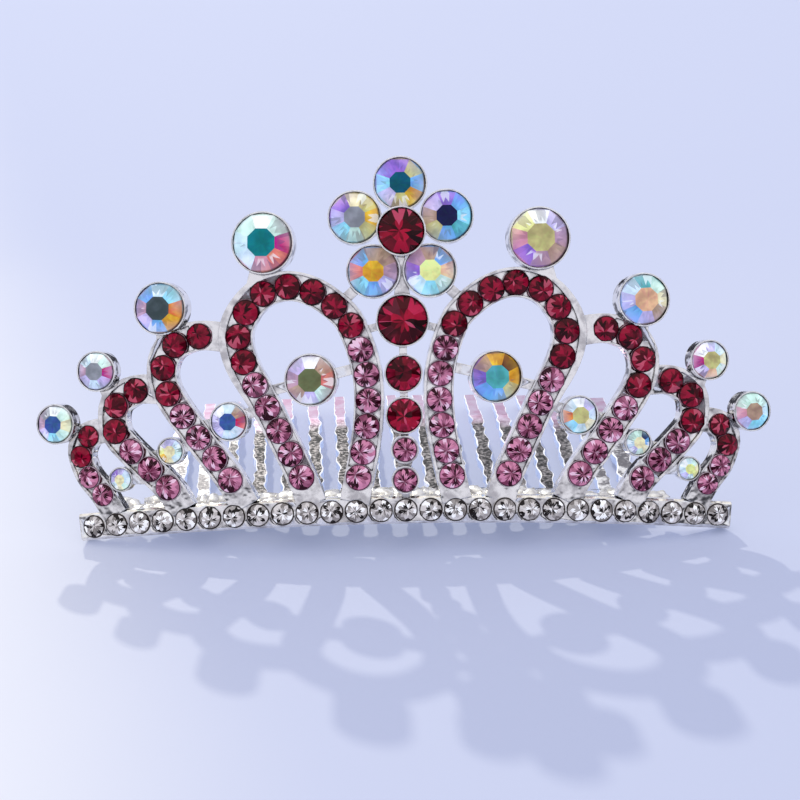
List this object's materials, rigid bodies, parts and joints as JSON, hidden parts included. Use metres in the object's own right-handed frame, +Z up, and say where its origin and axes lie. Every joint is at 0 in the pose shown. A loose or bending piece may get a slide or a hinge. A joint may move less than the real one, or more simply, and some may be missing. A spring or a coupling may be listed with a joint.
{
  "type": "tiara comb",
  "caption": "Stone-set tiara with arches, a flower and a curved band, on a hair comb that points back behind it.",
  "frame": {"origin": "on the table, under the middle of the part's box, as it stands by itself", "axes": "+X along the band to the wearer's left as seen from the front, +Y from the face back along the comb, +Z up"},
  "size_m": [0.1062, 0.0564, 0.0537],
  "materials": {
    "cast_metal": "bright silver plate over a cast face, with soft rounded edges",
    "comb_metal": "silver plate over a rough casting",
    "clear_stone": "cut clear glass with foil behind",
    "red_stone": "cut deep red glass with foil behind",
    "pink_stone": "cut rose glass with foil behind",
    "iridescent_stone": "cut clear glass with a rainbow coat and foil behind"
  },
  "bodies": {
    "root": {"frame": "cast_metal", "comb": "comb_metal", "band_stones": "clear_stone", "column_pink_stones": "pink_stone", "flower_centre": "red_stone", "petal_1": "iridescent_stone", "petal_2": "iridescent_stone", "petal_3": "iridescent_stone", "petal_4": "iridescent_stone", "petal_5": "iridescent_stone", "column_red_1": "red_stone", "column_red_2": "red_stone", "column_red_3": "red_stone", "crest_1_left": "iridescent_stone", "crest_1_right": "iridescent_stone", "crest_2_left": "iridescent_stone", "crest_2_right": "iridescent_stone", "crest_3_left": "iridescent_stone", "crest_3_right": "iridescent_stone", "crest_4_left": "iridescent_stone", "crest_4_right": "iridescent_stone", "inner_1_left": "iridescent_stone", "inner_1_right": "iridescent_stone", "inner_2_left": "iridescent_stone", "inner_2_right": "iridescent_stone", "inner_3_left": "iridescent_stone", "inner_3_right": "iridescent_stone", "inner_4_left": "iridescent_stone", "inner_4_right": "iridescent_stone", "arch_1_left_red": "red_stone", "arch_1_left_pink": "pink_stone", "arch_1_right_red": "red_stone", "arch_1_right_pink": "pink_stone", "arch_2_left_red": "red_stone", "arch_2_left_pink": "pink_stone", "arch_2_right_red": "red_stone", "arch_2_right_pink": "pink_stone", "arch_3_left_red": "red_stone", "arch_3_left_pink": "pink_stone", "arch_3_right_red": "red_stone", "arch_3_right_pink": "pink_stone", "arch_4_left_red": "red_stone", "arch_4_left_pink": "pink_stone", "arch_4_right_red": "red_stone", "arch_4_right_pink": "pink_stone"}
  },
  "joints": []
}
